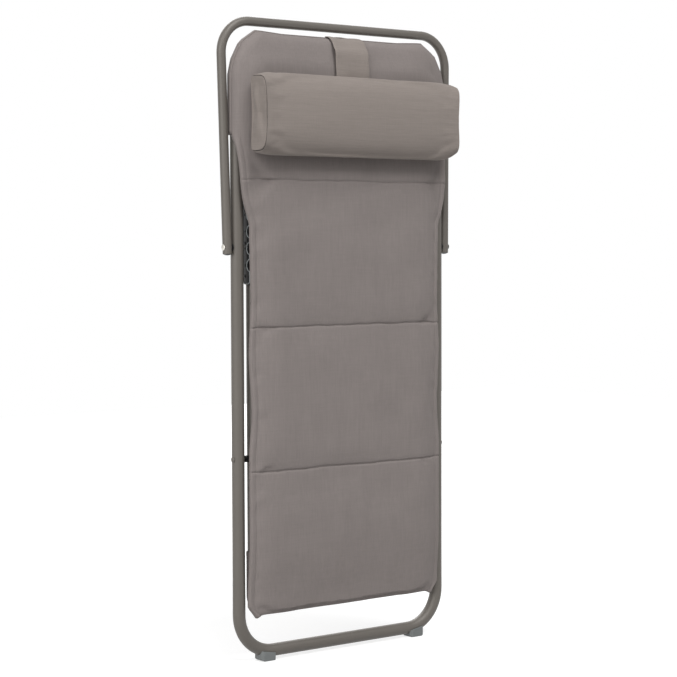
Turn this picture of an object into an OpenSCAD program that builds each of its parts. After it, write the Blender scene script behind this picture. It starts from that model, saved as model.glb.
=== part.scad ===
// Deck chair folded flat and standing on its feet: three bent tube frames under a padded sling.
// Lengths are in millimetres. X runs across the chair, +Y to its back and +Z up from the floor.

/* [Long frame] */
// Outside diameter of the long frame's tube
long_d = 25; // [23:0.5:26]
// Width between the centre lines of its side tubes
long_w = 500; // [480:5:520]
// Height between the centre lines of its bottom and top bars
long_h = 1193; // [1185:1:1200]
// Radius of its four corners on the centre line
long_corner_r = 78; // [70:1:85]
// Wall of every tube
tube_wall = 1.8; // [1.2:0.1:2]

/* [Seat frame] */
// Outside diameter of the seat frame's tube
seat_d = 20; // [18:0.5:21]
// Gap on each side between the seat frame and the long frame
seat_gap = 10; // [9:0.5:11]
// Height of the seat frame's front bar above the floor
seat_front_z = 106; // [98:1:115]
// Place of the seat frame's rear bar when folded, as a share of the long frame's height
seat_rear_share = 0.7896; // [0.78:0.0001:0.793]
// Radius of its four corners on the centre line
seat_corner_r = 50; // [40:1:55]
// Place of the pivot between the seat frame and the long frame, as such a share
seat_pivot_share = 0.321; // [0.315:0.001:0.325]

/* [Prop frame] */
// Outside diameter of the prop frame's tube
prop_d = 18; // [16:0.5:19]
// Height of the prop frame's bar above the long frame's top bar
prop_rise = 37; // [35:0.5:41]
// Place of the pivot between the prop frame and the long frame, as a share of its height
prop_pivot_share = 0.6655; // [0.664:0.0001:0.668]
// Radius of its two corners on the centre line
prop_corner_r = 64; // [55:1:70]
// Tube left below the pivot
prop_tail = 12.5; // [11:0.5:15]
// Outward lean of each leg, in degrees
prop_splay = 1.1; // [1:0.1:1.2]
// Backward lean of the folded prop frame, in degrees
prop_lean = 0.9; // [0.5:0.1:1]

/* [Pivots] */
// Diameter of the pivot rivets
rivet_d = 6; // [5:0.5:7]
// Diameter of their domed heads
rivet_head_d = 12; // [10:0.5:14]
// Height of their domed heads
rivet_head_h = 2.4; // [1.6:0.1:3]
// Diameter of the spacers between the seat frame and the long frame
spacer_d = 13.5; // [12:0.5:16]
// Diameter of the washers between the prop frame and the long frame
washer_d = 16; // [14:0.5:18]
// Thickness of those washers
washer_t = 0.8; // [0.6:0.1:1.2]
// Play between two faces that turn on each other
face_play = 0.2; // [0.15:0.05:0.3]
// Radial play of a rivet in the tube that turns on it
bore_play = 0.05; // [0.03:0.01:0.08]

/* [Notch racks] */
// Number of notches in each rack
notch_count = 4; // [3:1:4]
// Distance between two notches
notch_pitch = 32.6; // [31:0.2:34]
// Place of the lowest notch, as a share of the long frame's height
notch_share = 0.6362; // [0.634:0.0001:0.639]
// Play between the prop bar and a notch's wall
notch_play = 1.3; // [1.1:0.1:1.6]
// Thickness of a rack
rack_t = 7; // [6:0.5:8]
// Depth of the saddle that seats a rack on its tube
rack_saddle = 2.5; // [1.5:0.5:3]
// Length of a rack's plate beyond its lowest notch
rack_tail = 37; // [30:1:40]
// Length of a rack's plate beyond its highest notch
rack_nose = 24; // [20:1:28]
// Depth of a rack's plate behind its tube's centre line
rack_back = 7; // [5:0.5:8]
// Rounding of a rack's teeth
tooth_r = 3; // [2:0.25:3.5]
// Width of the moulded rim that runs round a rack
rack_rim = 1.6; // [1.2:0.1:2]
// Depth of the recess inside that rim
rack_recess = 1; // [0.6:0.1:1.4]
// Diameter of the rivets that hold a rack
rack_rivet_d = 4; // [3:0.5:5]

/* [Feet] */
// Length of a foot along its bar
foot_l = 36; // [34:1:42]
// Depth of a foot from front to back
foot_depth = 30; // [28:0.5:36]
// Depth of its sole, as a share of the foot's depth
sole_share = 0.95; // [0.88:0.01:0.98]
// Height of the foot's sole below its tube
foot_drop = 5.5; // [4.5:0.5:7]
// Rise of the slope at each end of the sole
foot_rise = 3.5; // [2:0.5:5]
// Depth of the foot's rim below the tube's centre
foot_rim = 3; // [2:0.5:5]
// Play between a foot and its tube
foot_play = 0.1; // [0.05:0.05:0.2]
// Diameter of the screw that holds a foot
foot_screw_d = 3.5; // [3:0.5:4.5]

/* [Sling] */
// Width of the padded sling
sling_w = 476; // [472:1:478]
// Thickness of the pad in the middle of a panel
pad_t = 15; // [13:0.5:17]
// Thickness of the pad along its seams and hems
hem_t = 7; // [5:0.5:9]
// Inward pull of the side hems between two seams
hem_draw = 2; // [0:0.5:4]
// Thickness of the cloth
cloth_t = 2; // [1.5:0.25:3]
// Clearance between the cloth and what it wraps
cloth_gap = 0.4; // [0.3:0.1:0.8]
// Clearance between two soft pieces that lie on each other
lay_gap = 0.3; // [0.25:0.05:0.5]
// Bow of the pad in front of the racks
pad_bow = 7.2; // [7:0.1:8]
// Place of the seam under the headrest, as a share of the long frame's height
seam_high_share = 0.7745; // [0.76:0.0005:0.785]
// Place of the seam in the middle of the back, as such a share
seam_mid_share = 0.5352; // [0.52:0.0002:0.55]
// Place of the lower hem of the top pocket, as such a share
top_hem_share = 0.8466; // [0.84:0.0002:0.856]
// Place where the sling has narrowed to its full width, as such a share
narrow_share = 0.7058; // [0.69:0.0002:0.72]
// Height of the upper hem of the bottom pocket
bottom_hem_z = 218; // [190:1:230]
// Height of the cut corners at the sling's lower end
corner_cut_h = 20; // [16:1:40]
// Width of those cut corners
corner_cut_w = 18; // [10:1:30]
// Half the angle left open in front of the seat pivot, in degrees
fold_half_angle = 35.5; // [35.2:0.1:37]

/* [Headrest] */
// Width of the headrest pillow
pillow_w = 490; // [440:5:495]
// Height of the pillow
pillow_h = 158; // [140:1:165]
// Thickness of the pillow
pillow_t = 48; // [40:1:55]
// Place of its lower edge, as a share of the long frame's height
pillow_share = 0.8131; // [0.81:0.0001:0.82]
// Width of the strap that carries the pillow
strap_w = 82; // [60:1:100]
// Thickness of the strap
strap_t = 2.5; // [2:0.25:3]
// Lap of the strap behind the pillow
strap_lap = 130; // [120:1:150]
// Width of the counterweight pouch
pouch_w = 140; // [120:1:160]
// Height of the pouch
pouch_h = 100; // [90:1:105]
// Thickness of the pouch
pouch_t = 21; // [19:0.5:23]
// Height of the pouch's lower edge above the hem of the top pocket
pouch_rise = 2; // [1:0.5:10]
// Thickness of the steel plate in the pouch
weight_t = 13; // [8:0.5:14]

/* [Hidden] */
$fn = 64;

// Overrun that carries every cut past the face it leaves
cut = long_d / 5;

// Places of the three frames
long_r = long_d / 2;
seat_r = seat_d / 2;
prop_r = prop_d / 2;
long_x = long_w / 2;
long_bottom_z = foot_drop + long_r;
long_top_z = long_bottom_z + long_h;
function at_share(share) = long_bottom_z + long_h * share;
seat_pivot_z = at_share(seat_pivot_share);
seat_rear_z = at_share(seat_rear_share);
prop_pivot_z = at_share(prop_pivot_share);
first_notch_z = at_share(notch_share);
seam_high_z = at_share(seam_high_share);
seam_mid_z = at_share(seam_mid_share);
top_hem_z = at_share(top_hem_share);
narrow_z = at_share(narrow_share);
pillow_z = at_share(pillow_share);
pouch_z = top_hem_z + pouch_rise;
seat_x = long_x - long_r - seat_gap - seat_r;
prop_x = long_x + long_r + washer_t + 2 * face_play + prop_r;

// Bores of the pivots and of the rack rivets
pivot_bore_d = rivet_d + 2 * bore_play;
rack_bore_d = rack_rivet_d + 2 * bore_play;

// Sling planes, measured from the frames' common plane, with the front negative
wrap_r_long = long_r + cloth_gap + cloth_t;
wrap_r_seat = seat_r + cloth_gap + cloth_t;
pad_back_y = -long_r - cloth_gap - lay_gap;
pillow_back_y = pad_back_y - pad_bow - pad_t - 2 * lay_gap;
pillow_front_y = pillow_back_y - pillow_t;
strap_back_y = wrap_r_long + lay_gap;
pouch_front_y = strap_back_y + strap_t + lay_gap;
pouch_back_y = pouch_front_y + pouch_t;

// The frames stand this far behind the middle of the whole chair's depth
frame_y = -(pillow_front_y + pouch_back_y) / 2;

// Angles of the open chair, with the prop bar seated in the lowest notch
bar_seat_y = -(seat_r + prop_r + lay_gap);
pivot_gap = prop_pivot_z - seat_pivot_z;
prop_reach = long_top_z + prop_rise - prop_pivot_z;
notch_first = first_notch_z - seat_pivot_z;
notch_reach = sqrt(notch_first * notch_first + bar_seat_y * bar_seat_y);
seat_open = acos((pivot_gap * pivot_gap + notch_reach * notch_reach - prop_reach * prop_reach)
    / (2 * pivot_gap * notch_reach)) + atan(-bar_seat_y / notch_first);
prop_open = 180 - prop_lean
    - acos((pivot_gap * pivot_gap + prop_reach * prop_reach - notch_reach * notch_reach)
    / (2 * pivot_gap * prop_reach));
echo(seat_open_deg = seat_open, prop_open_deg = prop_open, frame_y = frame_y);

steel_color = "#76716a";
cloth_color = "#87807c";
pillow_color = "#8d857e";
grey_plastic_color = "#737676";
black_plastic_color = "#1f1f20";
rivet_color = "#b8b8b4";

// A closed loop of round tube in the plane Y = 0, from a low bar to a high bar
module loop_solid(half_w, low_z, high_z, corner_r, d) {
    for (side = [-1, 1]) {
        translate([side * half_w, 0, low_z + corner_r])
            cylinder(h = high_z - low_z - 2 * corner_r, d = d);
    }
    for (bar_z = [low_z, high_z]) {
        translate([-half_w + corner_r, 0, bar_z])
            rotate([0, 90, 0])
                cylinder(h = 2 * (half_w - corner_r), d = d);
    }
    for (corner = [0 : 3]) {
        right = corner == 0 || corner == 3;
        top = corner < 2;
        translate([(right ? 1 : -1) * (half_w - corner_r), 0, top ? high_z - corner_r : low_z + corner_r])
            rotate([90, 0, 0])
                rotate([0, 0, 90 * corner])
                    rotate_extrude(angle = 90)
                        translate([corner_r, 0])
                            circle(d = d);
    }
}

// A round shaft along X, on one side of the chair
module cross_pin(x0, x1, z, d) {
    translate([x0, 0, z])
        rotate([0, 90, 0])
            cylinder(h = x1 - x0, d = d);
}

// The same through both sides
module cross_bore(x0, x1, z, d) {
    cross_pin(x0, x1, z, d);
    cross_pin(-x1, -x0, z, d);
}

// A domed head whose flat face lies on Z = 0
module dome(d, h) {
    ball_r = (d * d / 4 + h * h) / (2 * h);
    intersection() {
        translate([0, 0, h - ball_r])
            sphere(r = ball_r);
        cylinder(h = h, d = d);
    }
}

// A rivet along X from one tube face to another, with a domed head on each
module rivet(x0, x1, z, d, head_d, head_h) {
    translate([x0, 0, z])
        rotate([0, 90, 0]) {
            cylinder(h = x1 - x0, d = d);
            translate([0, 0, x1 - x0])
                dome(head_d, head_h);
            mirror([0, 0, 1])
                dome(head_d, head_h);
        }
}

module on_side(side) {
    mirror([side < 0 ? 1 : 0, 0, 0])
        children();
}

module in_place() {
    translate([0, frame_y, 0])
        children();
}

// Long frame: one closed loop of tube with the bores of both pivots

module long_frame() {
    color(steel_color)
        in_place()
            difference() {
                loop_solid(long_x, long_bottom_z, long_top_z, long_corner_r, long_d);
                loop_solid(long_x, long_bottom_z, long_top_z, long_corner_r, long_d - 2 * tube_wall);
                for (pivot_z = [seat_pivot_z, prop_pivot_z]) {
                    cross_bore(long_x - long_r - cut, long_x + long_r + cut, pivot_z, pivot_bore_d);
                }
                for (side = [-1, 1]) {
                    translate([side * foot_screw_x(long_x, long_corner_r), 0, long_bottom_z - long_r - cut])
                        cylinder(h = long_r + cut, d = foot_screw_d);
                }
            }
}

// Seat frame: a smaller loop that swings inside the long frame

rack_rivet_shares = [0.1, 0.5, 0.9];
rack_low_z = first_notch_z - rack_tail;
rack_high_z = first_notch_z + (notch_count - 1) * notch_pitch + rack_nose;
function rack_rivet_z(share) = rack_low_z + (rack_high_z - rack_low_z) * share;

module seat_frame() {
    color(steel_color)
        in_place()
            difference() {
                loop_solid(seat_x, seat_front_z, seat_rear_z, seat_corner_r, seat_d);
                loop_solid(seat_x, seat_front_z, seat_rear_z, seat_corner_r, seat_d - 2 * tube_wall);
                cross_bore(seat_x - seat_r - cut, seat_x + seat_r + cut, seat_pivot_z, pivot_bore_d);
                for (share = rack_rivet_shares) {
                    cross_bore(seat_x - seat_r - cut, seat_x + seat_r + cut,
                        rack_rivet_z(share), rack_bore_d);
                }
                for (side = [-1, 1]) {
                    translate([side * foot_screw_x(seat_x, seat_corner_r), 0, seat_rear_z])
                        cylinder(h = seat_r + cut, d = foot_screw_d);
                }
            }
}

// Prop frame: a splayed U in its own plane, with its pivot at the origin

leg_l = (prop_reach - prop_corner_r * (1 + sin(prop_splay))) / cos(prop_splay);
prop_arc_x = prop_x + leg_l * sin(prop_splay) - prop_corner_r * cos(prop_splay);

// The press that bends the corners leaves a fine raised band where the bar begins
band_l = prop_d / 9;
band_rise = prop_d / 300;

// A leg and its corner, with the pivot at the origin
module prop_arm(d, tail) {
    translate([0, 0, -tail])
        cylinder(h = tail + leg_l, d = d);
    translate([-prop_corner_r, 0, leg_l])
        rotate([90, 0, 0])
            rotate_extrude(angle = 90 + prop_splay)
                translate([prop_corner_r, 0])
                    circle(d = d);
}

module prop_solid(d, tail) {
    for (side = [-1, 1]) {
        on_side(side) {
            translate([prop_x, 0, 0])
                rotate([0, prop_splay, 0])
                    prop_arm(d, tail);
            translate([prop_arc_x - band_l / 2, 0, prop_reach])
                rotate([0, 90, 0])
                    cylinder(h = band_l, r = d / 2 + band_rise);
        }
    }
    translate([-prop_arc_x, 0, prop_reach])
        rotate([0, 90, 0])
            cylinder(h = 2 * prop_arc_x, d = d);
}

module on_prop() {
    in_place()
        translate([0, 0, prop_pivot_z])
            rotate([-prop_lean, 0, 0])
                children();
}

module prop_frame() {
    color(steel_color)
        on_prop()
            difference() {
                prop_solid(prop_d, prop_tail);
                prop_solid(prop_d - 2 * tube_wall, prop_tail + cut);
                cross_bore(prop_x - prop_r - cut, prop_x + prop_r + cut, 0, pivot_bore_d);
            }
}

cap_plug_l = prop_tail / 2;
cap_head_h = prop_d / 6;

module prop_end_cap(side) {
    color(black_plastic_color)
        on_prop()
            translate([side * prop_x, 0, 0])
                rotate([0, side * prop_splay, 0])
                    translate([0, 0, -prop_tail])
                        mirror([0, 0, 1]) {
                            translate([0, 0, -cap_plug_l])
                                cylinder(h = cap_plug_l, r = prop_r - tube_wall - bore_play);
                            dome(prop_d, cap_head_h);
                        }
}

// Pivots

module seat_pivot_rivet(side) {
    color(steel_color)
        in_place()
            on_side(side)
                rivet(seat_x - seat_r - face_play, long_x + long_r + face_play, seat_pivot_z,
                    rivet_d, rivet_head_d, rivet_head_h);
}

module seat_pivot_spacer(side) {
    color(black_plastic_color)
        in_place()
            on_side(side)
                difference() {
                    cross_pin(seat_x + seat_r + face_play, long_x - long_r - face_play,
                        seat_pivot_z, spacer_d);
                    cross_pin(seat_x + seat_r - cut, long_x - long_r + cut, seat_pivot_z, pivot_bore_d);
                }
}

module prop_pivot_rivet(side) {
    color(rivet_color)
        in_place()
            on_side(side)
                rivet(long_x - long_r - face_play, prop_x + prop_r + face_play, prop_pivot_z,
                    rivet_d, rivet_head_d, rivet_head_h * 3 / 4);
}

module prop_pivot_washer(side) {
    x0 = long_x + long_r + face_play;
    color(black_plastic_color)
        in_place()
            on_side(side)
                difference() {
                    cross_pin(x0, x0 + washer_t, prop_pivot_z, washer_d);
                    cross_pin(x0 - cut, x0 + washer_t + cut, prop_pivot_z, pivot_bore_d);
                }
}

// Notch racks: a saddle plate with half-round notches, drawn with X as the chair's Y and Y as its Z

notch_r = prop_r + notch_play;
tooth_tip_y = bar_seat_y + lay_gap;
fillet_rise = tooth_r + tooth_tip_y - bar_seat_y;
fillet_run = sqrt((notch_r + tooth_r) * (notch_r + tooth_r) - fillet_rise * fillet_rise);
fillet_touch = fillet_rise * notch_r / (notch_r + tooth_r);
last_notch_z = first_notch_z + (notch_count - 1) * notch_pitch;
end_r = (rack_back - tooth_tip_y) / 3;

// The tooth between two heights where fillets begin
module tooth(low, high) {
    translate([tooth_tip_y, low])
        square([tooth_r + rack_back - tooth_tip_y, high - low]);
    for (fillet_z = [low, high]) {
        translate([tooth_tip_y + tooth_r, fillet_z])
            circle(r = tooth_r);
    }
    translate([bar_seat_y + fillet_touch, low - tooth_r])
        square([rack_back - bar_seat_y - fillet_touch, high - low + 2 * tooth_r]);
}

// The end of the plate with a rounded outer corner and a rounded back
module rack_end(outer, inner, up) {
    lip = up ? outer - end_r : outer + end_r;
    translate([tooth_tip_y, min(lip, inner)])
        square([rack_back - tooth_tip_y, abs(lip - inner)]);
    translate([tooth_tip_y + end_r, min(outer, inner)])
        square([rack_back - tooth_tip_y - 2 * end_r, abs(outer - inner)]);
    for (corner_y = [tooth_tip_y + end_r, rack_back - end_r]) {
        translate([corner_y, lip])
            circle(r = end_r);
    }
}

module rack_outline() {
    difference() {
        union() {
            rack_end(rack_low_z, first_notch_z - fillet_run, false);
            rack_end(rack_high_z, last_notch_z + fillet_run, true);
            translate([tooth_tip_y + tooth_r, rack_low_z + end_r])
                square([rack_back - tooth_tip_y - tooth_r, rack_high_z - rack_low_z - 2 * end_r]);
            translate([tooth_tip_y + tooth_r, first_notch_z - fillet_run])
                circle(r = tooth_r);
            translate([tooth_tip_y + tooth_r, last_notch_z + fillet_run])
                circle(r = tooth_r);
            for (step = [0 : 1 : notch_count - 2]) {
                notch_z = first_notch_z + step * notch_pitch;
                tooth(notch_z + fillet_run, notch_z + notch_pitch - fillet_run);
            }
        }
        for (step = [0 : notch_count - 1]) {
            translate([bar_seat_y, first_notch_z + step * notch_pitch])
                circle(r = notch_r);
        }
    }
}

rack_x0 = seat_x + seat_r - rack_saddle;
rack_x1 = rack_x0 + rack_t;

// Shallow windows between the notches, which leave a rim and a web at every rivet
module rack_windows() {
    for (step = [0 : notch_count - 1]) {
        translate([-seat_r / 4, first_notch_z + step * notch_pitch])
            circle(r = notch_r / 4);
    }
    for (step = [0 : 1 : notch_count - 2]) {
        translate([tooth_tip_y + rack_rim, first_notch_z + step * notch_pitch + fillet_run])
            square([notch_r - rack_rim, notch_pitch - 2 * fillet_run]);
    }
}

module rack(side) {
    color(black_plastic_color)
        in_place()
            on_side(side)
                difference() {
                    translate([rack_x0, 0, 0])
                        rotate([90, 0, 90])
                            linear_extrude(height = rack_t)
                                rack_outline();
                    translate([rack_x1 - rack_recess, 0, 0])
                        rotate([90, 0, 90])
                            linear_extrude(height = rack_recess + cut)
                                rack_windows();
                    translate([seat_x, 0, rack_low_z - cut])
                        cylinder(h = rack_high_z - rack_low_z + 2 * cut, r = seat_r + bore_play);
                    for (share = rack_rivet_shares) {
                        cross_pin(rack_x0 - cut, rack_x1 + cut, rack_rivet_z(share), rack_bore_d);
                    }
                }
}

module rack_rivets() {
    color(black_plastic_color)
        in_place()
            for (side = [-1, 1], share = rack_rivet_shares) {
                on_side(side)
                    rivet(seat_x - seat_r - face_play, rack_x1 + face_play / 2, rack_rivet_z(share),
                        rack_rivet_d, rack_rivet_d * 2, rivet_head_h / 2);
            }
}

// Feet: saddles screwed under the bends of a bar. Drawn under a bar on Z = 0, on the +X side

function foot_inner_x(half_w, corner_r) = half_w - corner_r - foot_l / 20;
function foot_screw_x(half_w, corner_r) = foot_inner_x(half_w, corner_r) + foot_l / 3;

module foot(half_w, corner_r, tube_r) {
    x0 = foot_inner_x(half_w, corner_r);
    x1 = x0 + foot_l;
    sole = -tube_r - foot_drop;
    bend_x = half_w - corner_r;
    half_depth = foot_depth / 2;
    sole_half = half_depth * sole_share;
    rim_z = -foot_rim;
    outer_rim_z = tube_r / 2 - foot_rim;
    edge_r = foot_depth / 4;
    difference() {
        intersection() {
            // Side view: a flat sole that slopes up at both ends
            translate([0, half_depth, 0])
                rotate([90, 0, 0])
                    linear_extrude(height = foot_depth)
                        polygon([
                            [x0, sole + 2 * foot_rise], [x0 + foot_rise, sole],
                            [x1 - 2 * foot_rise, sole], [x1 - foot_rise / 2, sole + foot_rise],
                            [x1, sole + 2 * foot_rise], [x1, outer_rim_z],
                            [bend_x, rim_z], [x0, rim_z]
                        ]);
            // End view: walls that slope in to the sole
            translate([x0, 0, 0])
                rotate([90, 0, 90])
                    linear_extrude(height = foot_l)
                        polygon([
                            [-sole_half, sole], [sole_half, sole], [half_depth, rim_z],
                            [half_depth, outer_rim_z], [-half_depth, outer_rim_z], [-half_depth, rim_z]
                        ]);
            // Plan: rounded ends
            translate([x0, 0, sole - cut])
                linear_extrude(height = foot_depth + 2 * cut)
                    union() {
                        translate([0, -half_depth + edge_r])
                            square([foot_l, foot_depth - 2 * edge_r]);
                        translate([edge_r, -half_depth])
                            square([foot_l - 2 * edge_r, foot_depth]);
                        for (corner_x = [edge_r, foot_l - edge_r], corner_y = [-1, 1]) {
                            translate([corner_x, corner_y * (half_depth - edge_r)])
                                circle(r = edge_r);
                        }
                    }
        }
        // The tube's own path, a little larger
        translate([x0 - cut, 0, 0])
            rotate([0, 90, 0])
                cylinder(h = bend_x - x0 + cut, r = tube_r + foot_play);
        translate([bend_x, 0, corner_r])
            rotate([90, 0, 0])
                rotate([0, 0, -90])
                    rotate_extrude(angle = 90)
                        translate([corner_r, 0])
                            circle(r = tube_r + foot_play);
        // Countersunk screw hole
        translate([foot_screw_x(half_w, corner_r), 0, sole - cut])
            cylinder(h = foot_drop + tube_r + cut, d = foot_screw_d + 2 * bore_play);
        translate([foot_screw_x(half_w, corner_r), 0, sole - cut])
            cylinder(h = foot_drop / 2 + cut, d = foot_screw_d * 2);
    }
}

module front_foot(side) {
    color(grey_plastic_color)
        in_place()
            translate([0, 0, long_bottom_z])
                on_side(side)
                    foot(long_x, long_corner_r, long_r);
}

module rear_foot(side) {
    color(grey_plastic_color)
        in_place()
            translate([0, 0, seat_rear_z])
                on_side(side)
                    mirror([0, 0, 1])
                        foot(seat_x, seat_corner_r, seat_r);
}

// A screw from the foot's counterbore into the tube, drawn under a bar on Z = 0
module foot_screw(half_w, corner_r, tube_r) {
    head_z = -tube_r - foot_drop / 2;
    translate([foot_screw_x(half_w, corner_r), 0, head_z]) {
        cylinder(h = foot_drop / 2 + tube_r / 2, d = foot_screw_d - 2 * bore_play);
        mirror([0, 0, 1])
            dome(foot_screw_d * 2 - 4 * bore_play, foot_drop / 4);
    }
}

module foot_screws_front() {
    color(rivet_color)
        in_place()
            translate([0, 0, long_bottom_z])
                for (side = [-1, 1]) {
                    on_side(side)
                        foot_screw(long_x, long_corner_r, long_r);
                }
}

module foot_screws_rear() {
    color(rivet_color)
        in_place()
            translate([0, 0, seat_rear_z])
                for (side = [-1, 1]) {
                    on_side(side)
                        mirror([0, 0, 1])
                            foot_screw(seat_x, seat_corner_r, seat_r);
                }
}

// Quilted solids: a front and a back surface on the same rows and columns of points

module quilt(front, back) {
    rows = len(front);
    cols = len(front[0]);
    function f(i, j) = i * cols + j;
    function b(i, j) = rows * cols + i * cols + j;
    faces = [
        for (i = [0 : rows - 2], j = [0 : cols - 2], half = [0 : 3])
            half == 0 ? [f(i, j), f(i, j + 1), f(i + 1, j + 1)]
            : half == 1 ? [f(i, j), f(i + 1, j + 1), f(i + 1, j)]
            : half == 2 ? [b(i, j), b(i + 1, j + 1), b(i, j + 1)]
            : [b(i, j), b(i + 1, j), b(i + 1, j + 1)],
        for (j = [0 : cols - 2], half = [0 : 3])
            half == 0 ? [b(0, j), b(0, j + 1), f(0, j + 1)]
            : half == 1 ? [b(0, j), f(0, j + 1), f(0, j)]
            : half == 2 ? [f(rows - 1, j), f(rows - 1, j + 1), b(rows - 1, j + 1)]
            : [f(rows - 1, j), b(rows - 1, j + 1), b(rows - 1, j)],
        for (i = [0 : rows - 2], half = [0 : 3])
            half == 0 ? [b(i, 0), f(i, 0), f(i + 1, 0)]
            : half == 1 ? [b(i, 0), f(i + 1, 0), b(i + 1, 0)]
            : half == 2 ? [f(i, cols - 1), b(i, cols - 1), b(i + 1, cols - 1)]
            : [f(i, cols - 1), b(i + 1, cols - 1), f(i + 1, cols - 1)]
    ];
    polyhedron(points = concat([for (row = front) each row], [for (row = back) each row]), faces = faces);
}

// Sling: the pad's outline, back line and thickness as functions of height

pad_top_z = long_top_z + wrap_r_long;
pad_low_z = seat_front_z - wrap_r_seat;
pad_half = sling_w / 2;
top_half = long_x + wrap_r_long;
corner_z = long_top_z - long_corner_r;
corner_outer_r = long_corner_r + wrap_r_long;
corner_x = long_x - long_corner_r;
fold_slope = tan(fold_half_angle);

function ease(share) = share <= 0 ? 0 : share >= 1 ? 1 : share * share * (3 - 2 * share);

// Where a height lies between two others, from 0 to 1
function between(z, low, high) = (z - low) / (high - low);

// Half a chord of the sling's round upper corner, at a height above that corner's centre
function arc_run(rise) = sqrt(max(0, corner_outer_r * corner_outer_r - rise * rise));

function outline_half(z) =
    z > corner_z ? corner_x + arc_run(z - corner_z)
    : z > top_hem_z ? top_half
    : z > narrow_z ? pad_half + (top_half - pad_half) * between(z, narrow_z, top_hem_z)
    : z < pad_low_z + corner_cut_h
        ? pad_half - corner_cut_w * (1 - between(z, pad_low_z, pad_low_z + corner_cut_h))
    : pad_half;

// The back of the pad bows forward between its two bars, clear of the racks
function back_y(z) =
    z > seam_high_z ? pad_back_y - pad_bow * ease(1 - between(z, seam_high_z, top_hem_z))
    : pad_back_y - pad_bow * ease(between(z, pad_low_z + corner_cut_h, bottom_hem_z + corner_cut_h));

// The panel behind the pillow is fuller, so that the strap on it reaches the pillow's back
head_pad_t = pad_t + pad_bow - strap_t;

// Crown across one panel, from 0 at its seams to 1 in its middle
crown_power = 3.5;
function crown(share) = 1 - pow(abs(2 * share - 1), crown_power);

function panel_crown(z) =
    z > seam_high_z ? crown(between(z, seam_high_z, pad_top_z))
    : z > seam_mid_z ? crown(between(z, seam_mid_z, seam_high_z))
    : z > seat_pivot_z ? crown(between(z, seat_pivot_z, seam_mid_z))
    : crown(between(z, pad_low_z, seat_pivot_z));

across_power = 5;
function across(u) = 1 - pow(abs(u), across_power);

function pad_thick(z, u) =
    hem_t + ((z > seam_high_z ? head_pad_t : pad_t) - hem_t) * panel_crown(z) * across(u);

function front_y(z, u) = back_y(z) - pad_thick(z, u);

function pad_x(z, u) = u * (outline_half(z) - (z > top_hem_z ? 0 : hem_draw * panel_crown(z)));

column_shares = [-1, -0.97, -0.9, -0.78, -0.6, -0.3, 0, 0.3, 0.6, 0.78, 0.9, 0.97, 1];
panel_shares = [0.04, 0.12, 0.25, 0.42, 0.58, 0.75, 0.88, 0.96];
head_shares = [0.35, 0.65, 0.85, 0.95, 1];
lower_shares = [0.06, 0.2, 0.45, 0.75, 1];
corner_cut_shares = [0.4, 0.75, 1];
half_shares = [0.5, 1];
corner_steps = 6;

function rows_between(high, low, shares) = [for (share = shares) high + (low - high) * share];

// Heights of the upper pad's rows. Its last row ends on the fold's face
fold_back_z = seat_pivot_z - (pad_back_y - pad_bow) * fold_slope;
upper_rows = concat(
    [for (step = [0 : corner_steps]) corner_z + corner_outer_r * sin(90 - 90 * step / corner_steps)],
    rows_between(corner_z, top_hem_z, half_shares),
    rows_between(top_hem_z, seam_high_z, head_shares),
    rows_between(seam_high_z, seam_mid_z, panel_shares),
    [seam_mid_z],
    rows_between(seam_mid_z, fold_back_z, panel_shares),
    [fold_back_z]
);

// The lower pad's rows run from the fold's other face to its lower edge
lower_back_z = seat_pivot_z + (pad_back_y - pad_bow) * fold_slope;
lower_rows = concat(
    [lower_back_z],
    rows_between(lower_back_z, bottom_hem_z, lower_shares),
    rows_between(bottom_hem_z, pad_low_z + corner_cut_h, half_shares),
    rows_between(pad_low_z + corner_cut_h, pad_low_z, corner_cut_shares)
);

// How far a front row is moved to end on the fold's face, fading out over one panel's end
fold_fade_h = (seam_mid_z - seat_pivot_z) / 3;
function fold_shift(z, depth) = depth * fold_slope * ease(1 - abs(z - seat_pivot_z - sign(z - seat_pivot_z)
    * abs(fold_back_z - seat_pivot_z)) / fold_fade_h) * sign(z - seat_pivot_z);

module pad(rows) {
    quilt(
        [for (z = rows) [for (u = column_shares)
            [pad_x(z, u), front_y(z, u), z + fold_shift(z, pad_thick(z, u))]]],
        [for (z = rows) [for (u = column_shares) [pad_x(z, u), back_y(z), z]]]
    );
}

module sling_upper() {
    color(cloth_color)
        in_place()
            pad(upper_rows);
}

module sling_lower() {
    color(cloth_color)
        in_place()
            pad(lower_rows);
}

// The strip of pad that folds in front of the seat pivot
module sling_fold() {
    near = -(pad_back_y - pad_bow) + lay_gap;
    far = near + hem_t;
    play = lay_gap / cos(fold_half_angle);
    color(cloth_color)
        in_place()
            translate([-pad_half, 0, seat_pivot_z])
                rotate([90, 0, 90])
                    linear_extrude(height = 2 * pad_half)
                        polygon([
                            [-near, near * fold_slope - play], [-far, far * fold_slope - play],
                            [-far, -far * fold_slope + play], [-near, -near * fold_slope + play]
                        ]);
}

// Pocket backs: a half sleeve round the outside of a U of tube, closed by a flat panel

module loop_outline(half_w, low, high, corner_r) {
    translate([-half_w, low + corner_r])
        square([2 * half_w, high - low - 2 * corner_r]);
    translate([-half_w + corner_r, low])
        square([2 * (half_w - corner_r), high - low]);
    for (corner_side = [-1, 1], corner_end = [low + corner_r, high - corner_r]) {
        translate([corner_side * (half_w - corner_r), corner_end])
            circle(r = corner_r);
    }
}

// A slab of that outline between two depths
module loop_slab(half_w, low, high, corner_r, y0, y1) {
    translate([0, y1, 0])
        rotate([90, 0, 0])
            linear_extrude(height = y1 - y0)
                loop_outline(half_w, low, high, corner_r);
}

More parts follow.
